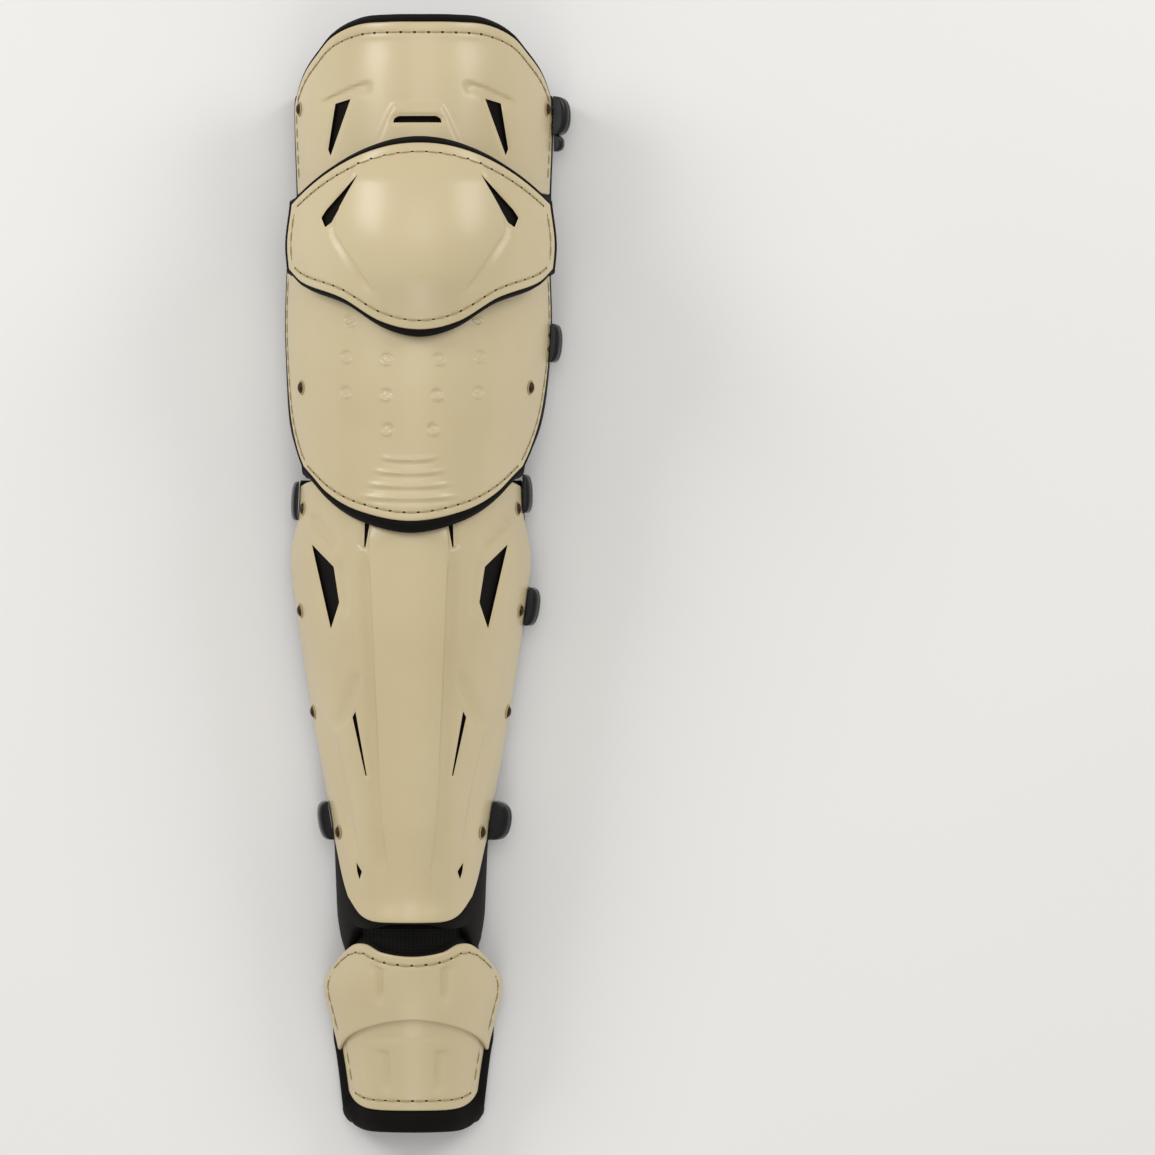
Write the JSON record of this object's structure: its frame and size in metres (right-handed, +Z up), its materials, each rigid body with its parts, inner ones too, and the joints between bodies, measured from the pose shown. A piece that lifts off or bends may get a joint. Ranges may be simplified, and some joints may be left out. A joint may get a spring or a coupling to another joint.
{
  "type": "catcher leg guard",
  "caption": "A catcher's leg guard lying on its back: cream moulded shells over dark foam at thigh, knee, shin and foot, with straps fastened behind.",
  "frame": {"origin": "middle of the bounding box, on the surface that the guard lies on", "axes": "+X across the guard towards its hooks, +Y along the leg from the toe to the thigh, +Z up, which is the front of the guard"},
  "size_m": [0.1767, 0.6874, 0.1445],
  "materials": {
    "shell": "satin",
    "foam": "matte",
    "knit": "matte",
    "hook_plastic": "gloss",
    "webbing": "matte",
    "rivet": "satin"
  },
  "bodies": {
    "root": {"thigh_shell": "shell", "knee_cap_shell": "shell", "knee_plate_shell": "shell", "shin_shell": "shell", "instep_shell": "shell", "toe_shell": "shell", "thigh_pad": "foam", "knee_cap_pad": "foam", "knee_plate_pad": "foam", "shin_pad": "foam", "foot_pad": "foam", "ankle_neck": "knit", "thigh_rivet_left": "rivet", "thigh_rivet_right": "rivet", "plate_rivet_left": "rivet", "plate_rivet_right": "rivet", "shin_top_rivet_left": "rivet", "shin_top_rivet_right": "rivet", "shin_mid_rivet_left": "rivet", "shin_mid_rivet_right": "rivet", "shin_low_rivet_left": "rivet", "shin_low_rivet_right": "rivet", "ankle_rivet_left": "rivet", "ankle_rivet_right": "rivet", "thigh_strap": "webbing", "knee_strap": "webbing", "shin_top_strap": "webbing", "shin_mid_strap": "webbing", "ankle_strap": "webbing", "thigh_hook": "hook_plastic", "knee_hook": "hook_plastic", "shin_top_hook": "hook_plastic", "shin_mid_hook": "hook_plastic", "ankle_hook": "hook_plastic", "shin_top_keeper": "hook_plastic", "ankle_keeper": "hook_plastic"}
  },
  "joints": []
}
